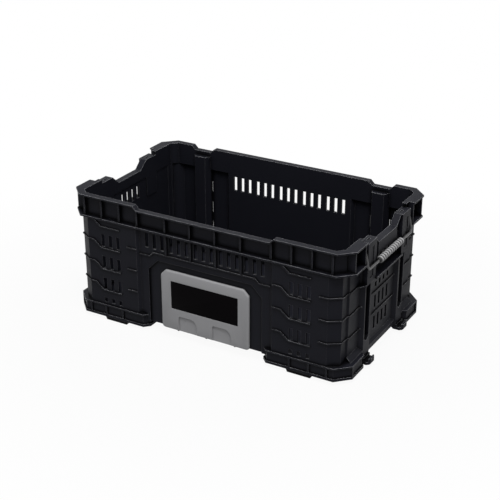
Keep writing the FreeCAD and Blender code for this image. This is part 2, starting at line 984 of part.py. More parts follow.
# Inside of the crate, cut wide below the rim and to the rim's inner edge above.
inner_quarter = [
    (f"Params.block_inner - {rib_face} + {inner_front} + {SLANT} * Params.wall", inner_front),
    (f"Params.block_inner - {rib_face} + {block_inside} + {SLANT} * Params.wall", block_inside),
    (f"{column_start} - Params.wall / 3", block_inside),
    (column_inside, f"{column_turn} - Params.wall / 2"),
    (column_inside, f"{column_back} + Params.wall / 2"),
    (side_inside, f"{column_back} + Params.wall / 2 - ({side_inside} - {column_inside})"),
]
inside = joined(
    "Inside",
    [
        prism("InsideLow", all_round(inner_quarter), "top", floor_top, ledge_under),
        prism("InsideHigh", rim_inner_outline, "top", floor_top, "Params.rim_top * 2"),
    ],
)

# Slots through the walls.
slots = []
for cell in range(-2, 3):
    for place in range(-1, 2):
        middle = f"{cell} * Params.cell_pitch + {place} * Params.centre_slot_pitch"
        slots.append(
            block(
                f"CentreSlot{len(slots)}",
                about(middle, "Params.slot_width"),
                (f"-({centre_face} + Params.wall)", f"-({inner_front} - Params.wall)"),
                ("Params.centre_slot_low", "Params.centre_slot_high"),
            )
        )
for side in range(2):
    for place in range(-1, 2):
        middle = (
            f"Params.block_slot_middle + {side} * Params.block_shift + {place} * Params.block_slot_pitch"
        )
        rows = [
            about(f"Params.block_row_top - {index} * Params.block_row_pitch", "Params.block_slot_tall")
            for index in range(3)
        ]
        rows.append(about("Params.low_slot_middle", "Params.low_slot_tall"))
        for tall in rows:
            slots.append(
                block(
                    f"BlockSlot{len(slots)}",
                    about(middle, "Params.slot_width"),
                    (f"-({rib_face} + Params.wall)", f"-({block_inside} - Params.wall)"),
                    tall,
                )
            )
wall_slots = front_and_back("WallSlots", grouped("FrontSlots", slots))
end_slots = []
for place in (-3, -1, 1, 3):
    for level, tall in (
        ("Params.end_row_high", "Params.end_slot_tall"),
        ("Params.end_row_short", "Params.end_short_tall"),
        ("Params.end_row_mid", "Params.end_slot_tall"),
        ("Params.end_row_low", "Params.end_slot_tall"),
    ):
        end_slots.append(
            block(
                f"EndSlot{len(end_slots)}",
                (f"{inner_end} - Params.wall", f"{panel_face} + Params.wall"),
                about(f"{place} * Params.end_slot_pitch / 2", "Params.slot_width"),
                about(level, tall),
            )
        )
end_slot_set = both_ends("EndSlots", grouped("RightSlots", end_slots))
channels = all_corners(
    "Channels",
    prism(
        "Channel",
        [
            ("-Params.channel_outer", "Params.channel_high"),
            ("-Params.channel_outer", "Params.channel_low + Params.channel_corner"),
            ("-(Params.channel_outer - Params.channel_corner)", "Params.channel_low"),
            ("-(Params.channel_inner + Params.channel_corner)", "Params.channel_low"),
            ("-Params.channel_inner", "Params.channel_low + Params.channel_corner"),
            ("-Params.channel_inner", "Params.channel_high"),
        ],
        "end",
        f"{low_post_face} - Params.channel_deep",
        half_length,
    ),
)

# Seat for the front plate, with a thickened wall behind it and holes for its pegs.
seat_back = f"({centre_face} - Params.seat_depth)"
seat = prism(
    "Seat",
    [
        ("-Params.seat_half", "0"),
        ("-Params.seat_half", "Params.seat_top - Params.seat_corner"),
        ("-(Params.seat_half - Params.seat_corner)", "Params.seat_top"),
        ("Params.seat_half - Params.seat_corner", "Params.seat_top"),
        ("Params.seat_half", "Params.seat_top - Params.seat_corner"),
        ("Params.seat_half", "0"),
    ],
    "front",
    f"-{half_depth}",
    f"-{seat_back}",
)
backing = block(
    "Backing",
    ("-(Params.seat_half + Params.wall)", "Params.seat_half + Params.wall"),
    (f"-({inner_front} + Params.wall / 3)", f"-({seat_back} - Params.wall)"),
    ("Params.floor_under", "Params.seat_top + Params.wall"),
)
peg_holes = []
for index, (sign, level) in enumerate(
    (("-", "Params.peg_low"), ("", "Params.peg_low"), ("-", "Params.peg_high"), ("", "Params.peg_high"))
):
    peg_holes.append(
        rod(
            f"PegHole{index}",
            "Params.peg_radius + Params.peg_gap",
            f"{sign}Params.peg_x",
            (f"-{half_depth}", f"-({seat_back} - 2 * Params.wall)"),
            level,
        )
    )

# The tub is one moulding: each piece of it is hollowed first and then joined on.
wall_shell = cut(
    "WallShell",
    joined("WallBacked", [cut("WallHollow", walls, inside), backing]),
    grouped("Openings", [wall_slots, end_slot_set, channels, seat] + peg_holes),
)
trimmed = [
    cut(f"Trimmed{index}", piece, inside)
    for index, piece in enumerate((rings, rim_open, feet))
]
tub = joined(
    "Tub",
    [wall_shell, zig_pairs, step_rib, front_flange, back_flange, pilasters, centre_rib_set]
    + [flares, hooks, latch_bays, posts, post_shelves]
    + trimmed
    + under_ribs,
)
tub.Label = "crate_tub"


def plane_of(body, role):
    return [feature for feature in body.Origin.OriginFeatures if feature.Role == role][0]


def body_sketch(body, name, role, offset="0"):
    """Sketch on one of a body's own planes, set out along the plane's normal."""
    sketch = body.newObject("Sketcher::SketchObject", name)
    sketch.AttachmentSupport = (plane_of(body, role), [""])
    sketch.MapMode = "FlatFace"
    sketch.setExpression("AttachmentOffset.Base.z", offset)
    return sketch


def fixed(sketch, kind, expression, start, *where):
    """Size constraint bound to an expression, with the size it starts from."""
    number = sketch.addConstraint(Sketcher.Constraint(kind, *where, start))
    sketch.setExpression(f"Constraints[{number}]", expression)


def circle(sketch, radius, x, y):
    index = sketch.addGeometry(Part.Circle(FreeCAD.Vector(1, 1, 0), FreeCAD.Vector(0, 0, 1), 1), False)
    fixed(sketch, "Radius", radius, 1, index)
    fixed(sketch, "DistanceX", x, 1, -1, 1, index, 3)
    fixed(sketch, "DistanceY", y, 1, -1, 1, index, 3)


def feature(body, kind, name, sketch, length, backwards=False):
    """Pad or pocket of a sketch to a bound length."""
    solid = body.newObject(f"PartDesign::{kind}", name)
    solid.Profile = sketch
    solid.Reversed = backwards
    solid.setExpression("Length", length)
    return solid


# Front plate: bevelled edge, window for the label, two thumb recesses, hollow back
# and four pegs that press through the wall.
plate = doc.addObject("PartDesign::Body", "FrontPlate")
plate.Label = "front_plate"
plate_front = f"({seat_back} + Params.plate_thick)"
plate_hollow = "(Params.plate_thick - Params.plate_skin)"
plate_edge = body_sketch(plate, "PlateEdge", "XZ_Plane", seat_back)
draw(
    plate_edge,
    [
        ("-(Params.plate_half - Params.plate_foot_corner)", "Params.plate_under"),
        ("Params.plate_half - Params.plate_foot_corner", "Params.plate_under"),
        ("Params.plate_half", "Params.plate_under + Params.plate_foot_corner"),
        ("Params.plate_half", "Params.plate_top - Params.plate_corner"),
        ("Params.plate_half - Params.plate_corner", "Params.plate_top"),
        ("-(Params.plate_half - Params.plate_corner)", "Params.plate_top"),
        ("-Params.plate_half", "Params.plate_top - Params.plate_corner"),
        ("-Params.plate_half", "Params.plate_under + Params.plate_foot_corner"),
    ],
)
plate_pad = feature(plate, "Pad", "PlatePad", plate_edge, "Params.plate_thick")
doc.recompute()
faces = plate_pad.Shape.Faces
front_face = min(range(len(faces)), key=lambda index: faces[index].CenterOfMass.y)
plate_bevel = plate.newObject("PartDesign::Chamfer", "PlateBevel")
plate_bevel.Base = (plate_pad, [f"Face{front_face + 1}"])
plate_bevel.setExpression("Size", "Params.plate_bevel")
back_edge = body_sketch(plate, "PlateBackEdge", "XZ_Plane", seat_back)
inset = "(Params.plate_half - Params.plate_frame)"
draw(
    back_edge,
    [
        (f"-{inset}", "Params.plate_under + Params.plate_frame"),
        (inset, "Params.plate_under + Params.plate_frame"),
        (inset, "Params.plate_top - Params.plate_corner - Params.plate_frame"),
        (f"{inset} - Params.plate_corner", "Params.plate_top - Params.plate_frame"),
        (f"-({inset} - Params.plate_corner)", "Params.plate_top - Params.plate_frame"),
        (f"-{inset}", "Params.plate_top - Params.plate_corner - Params.plate_frame"),
    ],
)
feature(plate, "Pocket", "PlateHollow", back_edge, plate_hollow, True)
peg_sketch = body_sketch(plate, "PlatePegSketch", "XZ_Plane", f"{seat_back} + {plate_hollow}")
for sign in ("-", ""):
    for level in ("Params.peg_low", "Params.peg_high"):
        circle(peg_sketch, "Params.peg_radius", f"{sign}Params.peg_x", level)
feature(plate, "Pad", "PlatePegs", peg_sketch, f"{plate_hollow} + Params.wall", True)
window = body_sketch(plate, "WindowEdge", "XZ_Plane", plate_front)
draw(
    window,
    rectangle(("-Params.window_half", "Params.window_half"), ("Params.window_low", "Params.window_high")),
)
feature(plate, "Pocket", "Window", window, "Params.window_depth")
thumbs = body_sketch(plate, "ThumbEdge", "XZ_Plane", plate_front)
for middle in ("-Params.thumb_middle", "Params.thumb_middle"):
    draw(
        thumbs,
        rectangle(
            about(middle, "2 * Params.thumb_half"),
            ("Params.plate_under - Params.wall", "Params.thumb_top"),
        ),
    )
thumb_pocket = feature(plate, "Pocket", "ThumbRecesses", thumbs, "Params.thumb_depth")
doc.recompute()
thumb_edges = []
for index, edge in enumerate(thumb_pocket.Shape.Edges):
    box = edge.BoundBox
    at_top = abs(edge.CenterOfMass.z - SIZES["thumb_top"]) < 0.01
    if at_top and box.XLength < 0.01 and box.ZLength < 0.01:
        thumb_edges.append(f"Edge{index + 1}")
thumb_round = plate.newObject("PartDesign::Fillet", "ThumbRound")
thumb_round.Base = (thumb_pocket, thumb_edges)
thumb_round.setExpression("Radius", "Params.thumb_round")

# Label sheet lying in the window of the plate.
label = doc.addObject("PartDesign::Body", "LabelInsert")
label.Label = "label_insert"
label_edge = body_sketch(label, "LabelEdge", "XZ_Plane", f"{plate_front} - Params.window_depth")
draw(
    label_edge,
    rectangle(
        ("-(Params.window_half - Params.label_gap)", "Params.window_half - Params.label_gap"),
        ("Params.window_low + Params.label_gap", "Params.window_high - Params.label_gap"),
    ),
)
feature(label, "Pad", "LabelPad", label_edge, "Params.label_thick")


def bail_wire(name):
    """Bent wire hanging from its own pivot axis, which lies along Y."""
    body = doc.addObject("PartDesign::Body", name)
    path = body_sketch(body, name + "Path", "YZ_Plane")
    leg = SIZES["leg_y"]
    long = SIZES["leg_long"]
    pin = SIZES["pin_end"]
    bend = SIZES["pin_bend"]
    sweep = SIZES["bar_bend"]
    up = FreeCAD.Vector(0, 0, 1)

    def at(x, y):
        return FreeCAD.Vector(x, y, 0)

    def arc(middle, radius, start):
        return Part.ArcOfCircle(
            Part.Circle(middle, up, radius), math.radians(start), math.radians(start + 90)
        )

    path.addGeometry(Part.LineSegment(at(-pin, 0), at(-leg + bend, 0)), False)
    path.addGeometry(arc(at(-leg + bend, -bend), bend, 90), False)
    path.addGeometry(Part.LineSegment(at(-leg, -bend), at(-leg, sweep - long)), False)
    path.addGeometry(arc(at(-leg + sweep, sweep - long), sweep, 180), False)
    path.addGeometry(Part.LineSegment(at(-leg + sweep, -long), at(leg - sweep, -long)), False)
    path.addGeometry(arc(at(leg - sweep, sweep - long), sweep, 270), False)
    path.addGeometry(Part.LineSegment(at(leg, sweep - long), at(leg, -bend)), False)
    path.addGeometry(arc(at(leg - bend, -bend), bend, 0), False)
    path.addGeometry(Part.LineSegment(at(leg - bend, 0), at(pin, 0)), False)
    for index in range(8):
        path.addConstraint(Sketcher.Constraint("Tangent", index, 2, index + 1, 1))
    for index in (0, 4, 8):
        path.addConstraint(Sketcher.Constraint("Horizontal", index))
    for index in (2, 6):
        path.addConstraint(Sketcher.Constraint("Vertical", index))
    for index, radius in ((1, "pin_bend"), (3, "bar_bend"), (5, "bar_bend"), (7, "pin_bend")):
        fixed(path, "Radius", f"Params.{radius}", SIZES[radius], index)
    fixed(path, "DistanceX", "-Params.pin_end", -pin, -1, 1, 0, 1)
    fixed(path, "DistanceY", "0", 0, -1, 1, 0, 1)
    fixed(path, "DistanceX", "-Params.leg_y", -leg, -1, 1, 2, 1)
    fixed(path, "DistanceY", "-Params.leg_long", -long, -1, 1, 4, 1)
    fixed(path, "DistanceX", "Params.leg_y", leg, -1, 1, 6, 1)
    fixed(path, "DistanceX", "Params.pin_end", pin, -1, 1, 8, 2)
    fixed(path, "DistanceY", "0", 0, -1, 1, 8, 2)
    section = body_sketch(body, name + "Section", "XZ_Plane", "Params.pin_end")
    circle(section, "Params.wire_radius", "0", "0")
    pipe = body.newObject("PartDesign::AdditivePipe", name + "Pipe")
    pipe.Profile = section
    pipe.Spine = path
    return body


def bail_grip(name):
    """Ribbed sleeve on the bar, round its own Y axis."""
    body = doc.addObject("PartDesign::Body", name)
    core = body_sketch(body, name + "CoreEdge", "YZ_Plane")
    draw(
        core,
        rectangle(
            ("-Params.grip_half", "Params.grip_half"),
            ("Params.wire_radius + Params.grip_bore_gap", "Params.grip_core_radius"),
        ),
    )
    sleeve = body.newObject("PartDesign::Revolution", name + "Core")
    sleeve.Profile = core
    sleeve.ReferenceAxis = (core, ["H_Axis"])
    sleeve.Angle = 360
    first = "(-(Params.grip_rings - 1) / 2 * Params.grip_ring_pitch)"
    half = "Params.grip_ring_pitch / 2"
    rise = "(Params.grip_ring_radius - Params.grip_core_radius)"
    ring = body_sketch(body, name + "RingEdge", "YZ_Plane")
    draw(
        ring,
        [
            (f"{first} - {half} + {rise}", f"Params.grip_core_radius - {rise}"),
            (f"{first} + {half} - {rise}", f"Params.grip_core_radius - {rise}"),
            (f"{first} + {half} - {rise}", "Params.grip_core_radius"),
            (first, "Params.grip_ring_radius"),
            (f"{first} - {half} + {rise}", "Params.grip_core_radius"),
        ],
    )
    band = body.newObject("PartDesign::Revolution", name + "Ring")
    band.Profile = ring
    band.ReferenceAxis = (ring, ["H_Axis"])
    band.Angle = 360
    doc.recompute()
    rings = body.newObject("PartDesign::LinearPattern", name + "Rings")
    rings.Originals = [band]
    rings.Direction = (ring, ["H_Axis"])
    body.Tip = rings
    rings.setExpression("Length", "(Params.grip_rings - 1) * Params.grip_ring_pitch")
    rings.setExpression("Occurrences", "Params.grip_rings")
    return body


# Both bails hang against their posts, the left one turned half round.
pivot = FreeCAD.Vector(
    SIZES["rim_length"] / 2 - SIZES["pivot_inset"], 0, SIZES["rim_top"] - SIZES["pivot_drop"]
)
reach = SIZES["pivot_inset"] - SIZES["post_inset"] + SIZES["wire_radius"] + SIZES["rest_gap"]
lean = FreeCAD.Rotation(FreeCAD.Vector(0, 1, 0), -math.degrees(math.asin(reach / SIZES["leg_long"])))
bar = pivot + lean.multVec(FreeCAD.Vector(0, 0, -SIZES["leg_long"]))
subparts = [tub, plate, label]
for word, turn in (("right", 0), ("left", 180)):
    around = FreeCAD.Placement(FreeCAD.Vector(), FreeCAD.Rotation(FreeCAD.Vector(0, 0, 1), turn))
    wire = bail_wire(word.title() + "Bail")
    wire.Label = f"bail_wire_{word}"
    wire.Placement = around.multiply(FreeCAD.Placement(pivot, lean))
    grip = bail_grip(word.title() + "Grip")
    grip.Label = f"bail_grip_{word}"
    grip.Placement = around.multiply(FreeCAD.Placement(bar, lean))
    subparts += [wire, grip]

doc.recompute()
for item in doc.Objects:
    if "Invalid" in item.State or "Error" in item.State:
        raise RuntimeError(f"{item.Name} did not build")
for item in subparts:
    if item.Shape.isNull() or not item.Shape.isValid() or len(item.Shape.Solids) != 1:
        raise RuntimeError(f"{item.Label} is not one valid solid")
for item in subparts:
    item.Shape.exportStep(f"parts/{item.Label}.step")
    box = item.Shape.BoundBox
    print(item.Label, round(item.Shape.Volume), box)
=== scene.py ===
import math

import bpy
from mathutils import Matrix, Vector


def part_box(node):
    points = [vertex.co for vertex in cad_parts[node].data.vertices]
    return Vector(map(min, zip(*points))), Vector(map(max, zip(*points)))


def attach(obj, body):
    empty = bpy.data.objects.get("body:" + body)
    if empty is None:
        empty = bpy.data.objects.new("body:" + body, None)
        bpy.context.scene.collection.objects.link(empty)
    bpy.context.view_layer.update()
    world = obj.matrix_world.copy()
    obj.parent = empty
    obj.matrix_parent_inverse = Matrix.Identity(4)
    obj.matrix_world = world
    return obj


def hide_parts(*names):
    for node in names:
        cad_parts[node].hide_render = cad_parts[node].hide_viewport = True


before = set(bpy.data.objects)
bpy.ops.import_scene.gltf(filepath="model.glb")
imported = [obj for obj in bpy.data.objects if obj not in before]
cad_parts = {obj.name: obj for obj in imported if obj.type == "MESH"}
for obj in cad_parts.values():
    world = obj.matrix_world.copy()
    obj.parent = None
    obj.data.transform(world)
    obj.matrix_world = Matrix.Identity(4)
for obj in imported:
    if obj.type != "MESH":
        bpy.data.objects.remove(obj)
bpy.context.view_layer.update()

bpy.ops.object.select_all(action="DESELECT")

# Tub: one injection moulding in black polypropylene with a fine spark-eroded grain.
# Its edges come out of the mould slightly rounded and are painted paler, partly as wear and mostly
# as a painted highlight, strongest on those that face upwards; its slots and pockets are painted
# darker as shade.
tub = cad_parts["crate_tub"]
tub_black = (0.0074, 0.0077, 0.0108, 1)
# Pale colour painted on the edges as highlight and partly wear; near-black painted in slots and
# pockets as shade.
tub_highlight_and_wear = (0.58, 0.585, 0.61, 1)
tub_recess_shade = (0.0012, 0.0012, 0.0016, 1)


def new_finish(name):
    """Empty finish with its node tree and its skin."""
    finish = bpy.data.materials.new(name)
    finish.use_nodes = True
    return finish, finish.node_tree, finish.node_tree.nodes["Principled BSDF"]


def speckle(tree, scale, detail):
    """Noise on the piece's own coordinates, for grain, patchy edge highlight and wear, and smears.
    """
    place = tree.nodes.new("ShaderNodeTexCoord")
    noise = tree.nodes.new("ShaderNodeTexNoise")
    noise.inputs["Scale"].default_value = scale
    noise.inputs["Detail"].default_value = detail
    tree.links.new(place.outputs["Object"], noise.inputs["Vector"])
    return noise.outputs["Fac"]


def remap(tree, value, source, target=(0, 1)):
    """Value stretched from one range to another and held inside it."""
    stretch = tree.nodes.new("ShaderNodeMapRange")
    for socket, limit in zip(("From Min", "From Max", "To Min", "To Max"), (*source, *target)):
        stretch.inputs[socket].default_value = limit
    tree.links.new(value, stretch.inputs["Value"])
    return stretch.outputs["Result"]


def work_out(tree, operation, first, second):
    """Two values joined by one step of arithmetic."""
    step = tree.nodes.new("ShaderNodeMath")
    step.operation = operation
    tree.links.new(first, step.inputs[0])
    tree.links.new(second, step.inputs[1])
    return step.outputs["Value"]


def colour_mix(tree, first):
    """Mix of two colours that starts from a plain one."""
    mix = tree.nodes.new("ShaderNodeMix")
    mix.data_type = "RGBA"
    mix.inputs["A"].default_value = first
    return mix


def bumped(tree, height, strength, distance):
    """Fine relief on a skin."""
    relief = tree.nodes.new("ShaderNodeBump")
    relief.inputs["Strength"].default_value = strength
    relief.inputs["Distance"].default_value = distance
    tree.links.new(height, relief.inputs["Height"])
    return relief


def moulded_plastic(name, colour, highlight_and_wear, recess_shade, edge_radius, side_highlight, shade_distance, gloss, specular):
    """Grained plastic with rounded edges painted pale as highlight and wear, painted shade in its
    hollows and shinier patches.
    """
    finish, tree, plastic = new_finish(name)
    plastic.inputs["Specular IOR Level"].default_value = specular

    edge = tree.nodes.new("ShaderNodeBevel")
    edge.samples = 6
    edge.inputs["Radius"].default_value = edge_radius
    grain = bumped(tree, speckle(tree, scale=1500, detail=2), strength=0.16, distance=0.0004)
    tree.links.new(edge.outputs["Normal"], grain.inputs["Normal"])
    tree.links.new(grain.outputs["Normal"], plastic.inputs["Normal"])

    face = tree.nodes.new("ShaderNodeNewGeometry")
    turned = tree.nodes.new("ShaderNodeVectorMath")
    turned.operation = "DOT_PRODUCT"
    tree.links.new(edge.outputs["Normal"], turned.inputs[0])
    tree.links.new(face.outputs["Normal"], turned.inputs[1])
    # Pale edges: a painted highlight along the rounded edges, partly also wear, broken up by
    # noise.
    at_edge = remap(tree, turned.outputs["Value"], source=(0.985, 0.82))
    highlight_and_wear_mask = work_out(tree, "MULTIPLY", at_edge, speckle(tree, scale=55, detail=5))
    # Edges that face upwards get more of the painted highlight, as where the light falls from
    # above.
    if side_highlight < 1:
        facing = tree.nodes.new("ShaderNodeSeparateXYZ")
        tree.links.new(edge.outputs["Normal"], facing.inputs["Vector"])
        lit_from_above = remap(tree, facing.outputs["Z"], source=(0.05, 0.5), target=(side_highlight, 1))
        highlight_and_wear_mask = work_out(tree, "MULTIPLY", highlight_and_wear_mask, lit_from_above)
    highlighted = colour_mix(tree, colour)
    highlighted.inputs["B"].default_value = highlight_and_wear
    tree.links.new(highlight_and_wear_mask, highlighted.inputs["Factor"])

    # Painted shade: the colour darkens in hollows found by ambient occlusion, where shade falls.
    shaded = colour_mix(tree, recess_shade)
    shaded.name = "shaded"
    tree.links.new(highlighted.outputs["Result"], shaded.inputs["B"])
    tree.links.new(shaded.outputs["Result"], plastic.inputs["Base Color"])
    if shade_distance:
        occlusion = tree.nodes.new("ShaderNodeAmbientOcclusion")
        occlusion.samples = 8
        occlusion.inputs["Distance"].default_value = shade_distance
        unshaded = remap(tree, occlusion.outputs["AO"], source=(0.65, 0.97))
        tree.links.new(unshaded, shaded.inputs["Factor"])

    patches = remap(tree, speckle(tree, scale=16, detail=4), source=(0.35, 0.65), target=gloss)
    tree.links.new(patches, plastic.inputs["Roughness"])
    return finish


def dress(piece, finish):
    """Give a piece one finish in place of any it has."""
    piece.data.materials.clear()
    piece.data.materials.append(finish)


tub_skin = moulded_plastic(
    "black_moulding_grain",
    tub_black,
    tub_highlight_and_wear,
    tub_recess_shade,
    edge_radius=0.0009,
    side_highlight=0.3,
    shade_distance=0.01,
    gloss=(0.52, 0.4),
    specular=0.06,
)
dress(tub, tub_skin)

# Front plate: a separate mid-grey moulding that sits in the recess of the front wall.
# It has a rounded bevel all round, a window for the label and two thumb recesses,
# and is held by four pegs pressed through the wall.
plate_low, plate_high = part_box("front_plate")
label_low, label_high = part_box("label_insert")
peg_length = 0.003
peg_radius = 0.003
peg_x = 0.079
peg_levels = (0.036, 0.112)
plate_front = plate_low.y
plate_back = plate_high.y - peg_length
plate_middle = (plate_low + plate_high) / 2
plate_corner = 0.011
plate_foot_corner = 0.0065
plate_bevel = 0.0032
window_depth = 0.0012
window_corner = 0.0012
label_gap = 0.0003
thumb_middle = 0.035
thumb_half = 0.019
thumb_top = 0.0464
thumb_depth = 0.0022
thumb_left_corner = 0.004
thumb_right_corner = 0.014
same_place = 1e-5
plate_grey = (0.224, 0.224, 0.232, 1)
# Pale colour painted on the edges as highlight and partly wear; darker grey painted in the window
# and thumb recesses as shade.
plate_highlight_and_wear = (0.6, 0.6, 0.605, 1)
plate_recess_shade = (0.09, 0.09, 0.092, 1)


def slab(name, low, high):
    """Cube drawn out to a slab between two corners, ready for shaping."""
    bpy.ops.object.select_all(action="DESELECT")
    bpy.ops.mesh.primitive_cube_add(size=1, location=[(a + b) / 2 for a, b in zip(low, high)])
    piece = bpy.context.object
    piece.name = name
    bpy.ops.transform.resize(value=[b - a for a, b in zip(low, high)])
    bpy.ops.object.transform_apply(location=True, rotation=True, scale=True)
    return piece


def bevel_edges(piece, test, size, segments):
    """Bevel of the edges whose two ends pass a test."""
    bpy.context.view_layer.objects.active = piece
    bpy.context.tool_settings.mesh_select_mode = (False, True, False)
    bpy.ops.object.mode_set(mode="EDIT")
    bpy.ops.mesh.select_all(action="DESELECT")
    bpy.ops.object.mode_set(mode="OBJECT")
    corners = piece.data.vertices
    for edge in piece.data.edges:
        a, b = (corners[index].co for index in edge.vertices)
        edge.select = test(a, b)
    bpy.ops.object.mode_set(mode="EDIT")
    bpy.ops.mesh.bevel(offset=size, segments=segments, affect="EDGES")
    bpy.ops.object.mode_set(mode="OBJECT")


def across(a, b):
    """Edge that runs through the plate from front to back."""
    return abs(a.x - b.x) < same_place and abs(a.z - b.z) < same_place


def across_above(level):
    """Test for such an edge above a level."""
    return lambda a, b: across(a, b) and a.z > level


def round_front(front):
    """Test for an edge of the face at the front."""
    return lambda a, b: max(a.y, b.y) < front + same_place


def round_back(back):
    """Test for an edge of the face at the back."""
    return lambda a, b: min(a.y, b.y) > back - same_place


def cut_out(piece, tool):
    """Take a tool's shape out of a piece and clear the tool away."""
    bpy.ops.object.select_all(action="DESELECT")
    bpy.context.view_layer.objects.active = piece
    piece.select_set(True)
    hollow = piece.modifiers.new("hollow", "BOOLEAN")
    hollow.operation = "DIFFERENCE"
    hollow.solver = "EXACT"
    hollow.object = tool
    bpy.ops.object.modifier_apply(modifier=hollow.name)
    bpy.data.objects.remove(tool)


plate = slab("plate", plate_low, (plate_high.x, plate_back, plate_high.z))
bevel_edges(plate, across_above(plate_middle.z), plate_corner, segments=1)
bevel_edges(
    plate, lambda a, b: across(a, b) and a.z < plate_middle.z, plate_foot_corner, segments=5
)
bevel_edges(plate, across_above(plate_middle.z), plate_corner / 4, segments=4)
bevel_edges(plate, round_front(plate_front), plate_bevel, segments=3)
window = slab(
    "window",
    (label_low.x - label_gap, plate_front - plate_bevel, label_low.z - label_gap),
    (label_high.x + label_gap, plate_front + window_depth, label_high.z + label_gap),
)
bevel_edges(window, across, window_corner, segments=3)
cut_out(plate, window)
for middle in (-thumb_middle, thumb_middle):
    recess = slab(
        "thumb_recess",
        (middle - thumb_half, plate_front - thumb_depth, plate_low.z - plate_bevel),
        (middle + thumb_half, plate_front + thumb_depth, thumb_top),
    )
    at_top = across_above(thumb_top - same_place)
    bevel_edges(
        recess, lambda a, b: at_top(a, b) and a.x < middle, thumb_left_corner, segments=4
    )
    bevel_edges(
        recess, lambda a, b: at_top(a, b) and a.x > middle, thumb_right_corner, segments=10
    )
    bevel_edges(recess, round_back(plate_front + thumb_depth), thumb_depth * 0.9, segments=2)
    cut_out(plate, recess)
for side in (-peg_x, peg_x):
    for level in peg_levels:
        bpy.ops.mesh.primitive_cylinder_add(
            vertices=32,
            radius=peg_radius,
            depth=peg_length * 2,
            location=(side, plate_back, level),
            rotation=(math.radians(90), 0, 0),
        )
        peg = bpy.context.object
        bpy.ops.object.transform_apply(location=True, rotation=True, scale=True)
        bevel_edges(peg, round_back(plate_high.y), peg_radius / 6, segments=2)
        plate.select_set(True)
        peg.select_set(True)
        bpy.context.view_layer.objects.active = plate
        bpy.ops.object.join()
bpy.ops.object.select_all(action="DESELECT")
plate.select_set(True)
bpy.ops.object.shade_smooth_by_angle(angle=math.radians(35))
plate_skin = moulded_plastic(
    "grey_moulding_grain",
    plate_grey,
    plate_highlight_and_wear,
    plate_recess_shade,
    edge_radius=0.0009,
    side_highlight=1,
    shade_distance=0.003,
    gloss=(0.55, 0.46),
    specular=0.28,
)
dress(plate, plate_skin)
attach(plate, "crate")
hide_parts("front_plate")

# Label: a bare black card with a satin film, cut to the window with rounded corners.
# It lies loose in the plate's window, slightly bowed, and is smeared by handling.
label_round = 0.0012
label_bow = 0.0004
label_black = (0.0022, 0.0018, 0.0022, 1)
label_gloss = (0.16, 0.3)

label = slab("label", label_low, label_high)
bevel_edges(label, across, label_round, segments=4)
bevel_edges(label, round_front(label_low.y), label_round / 6, segments=2)
bpy.ops.object.shade_smooth_by_angle(angle=math.radians(35))
film, film_tree, film_skin = new_finish("black_label_film")
film_skin.inputs["Base Color"].default_value = label_black
film_skin.inputs["Specular IOR Level"].default_value = 0.015
bowed = bumped(film_tree, speckle(film_tree, scale=24, detail=1), strength=0.5, distance=label_bow)
film_tree.links.new(bowed.outputs["Normal"], film_skin.inputs["Normal"])
smears = remap(film_tree, speckle(film_tree, scale=70, detail=6), (0, 1), target=label_gloss)
film_tree.links.new(smears, film_skin.inputs["Roughness"])
dress(label, film)
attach(label, "crate")
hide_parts("label_insert")

# Bail wires: drawn steel bent to a loop, their ends turned in to pivot in the holes
# of the posts. A thin black coat covers them and rubs paler and smoother in patches.
wire_coated = (0.008, 0.008, 0.009, 1)
wire_rubbed = (0.05, 0.05, 0.052, 1)
wire_gloss = (0.34, 0.2)

wire_coat, wire_tree, wire_skin = new_finish("dark_wire_coat")
wire_skin.inputs["Metallic"].default_value = 0
wire_skin.inputs["Specular IOR Level"].default_value = 0.5
rubs = speckle(wire_tree, scale=130, detail=5)
coat_tint = colour_mix(wire_tree, wire_coated)
coat_tint.inputs["B"].default_value = wire_rubbed
wire_tree.links.new(rubs, coat_tint.inputs["Factor"])
wire_tree.links.new(coat_tint.outputs["Result"], wire_skin.inputs["Base Color"])
wire_tree.links.new(remap(wire_tree, rubs, (0, 1), wire_gloss), wire_skin.inputs["Roughness"])
for side in ("left", "right"):
    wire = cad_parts[f"bail_wire_{side}"]
    dress(wire, wire_coat)

# Grips: light grey sleeves moulded with flat-topped ribs, slid over the bar of each
# bail before its ends are bent, with a plain collar at each end. The grooves between
# the ribs are painted darker as shade, and the rib edges carry a pale painted highlight.
grip_low, grip_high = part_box("bail_grip_right")
bar = (grip_low + grip_high) / 2
grip_radius = (grip_high.z - grip_low.z) / 2
grip_core = grip_radius * 0.64
grip_end = grip_core * 0.92
grip_bore = 0.0023
grip_collar = 0.0018
grip_ribs = 12
rib_pitch = (grip_high.y - grip_low.y - 2 * grip_collar) / grip_ribs
rib_height = grip_radius - grip_core
rib_profile = (
    (0.12, 0),
    (0.1, 0.55),
    (0.08, 0.88),
    (0.12, 1),
    (0.16, 1),
    (0.12, 0.88),
    (0.1, 0.55),
    (0.08, 0),
    (0.12, 0),
)
grip_grey = (0.22, 0.22, 0.224, 1)
# Paler colour painted on the rib edges as highlight and partly wear; near-black painted in the
# grooves as shade.
grip_highlight_and_wear = (0.36, 0.36, 0.365, 1)
grip_groove_shade = (0.006, 0.006, 0.006, 1)


def vector_step(tree, operation, vector, amount=(0, 0, 0)):
    """One step of vector arithmetic with a fixed amount."""
    step = tree.nodes.new("ShaderNodeVectorMath")
    step.operation = operation
    step.inputs[1].default_value = amount
    tree.links.new(vector, step.inputs[0])
    return step.outputs


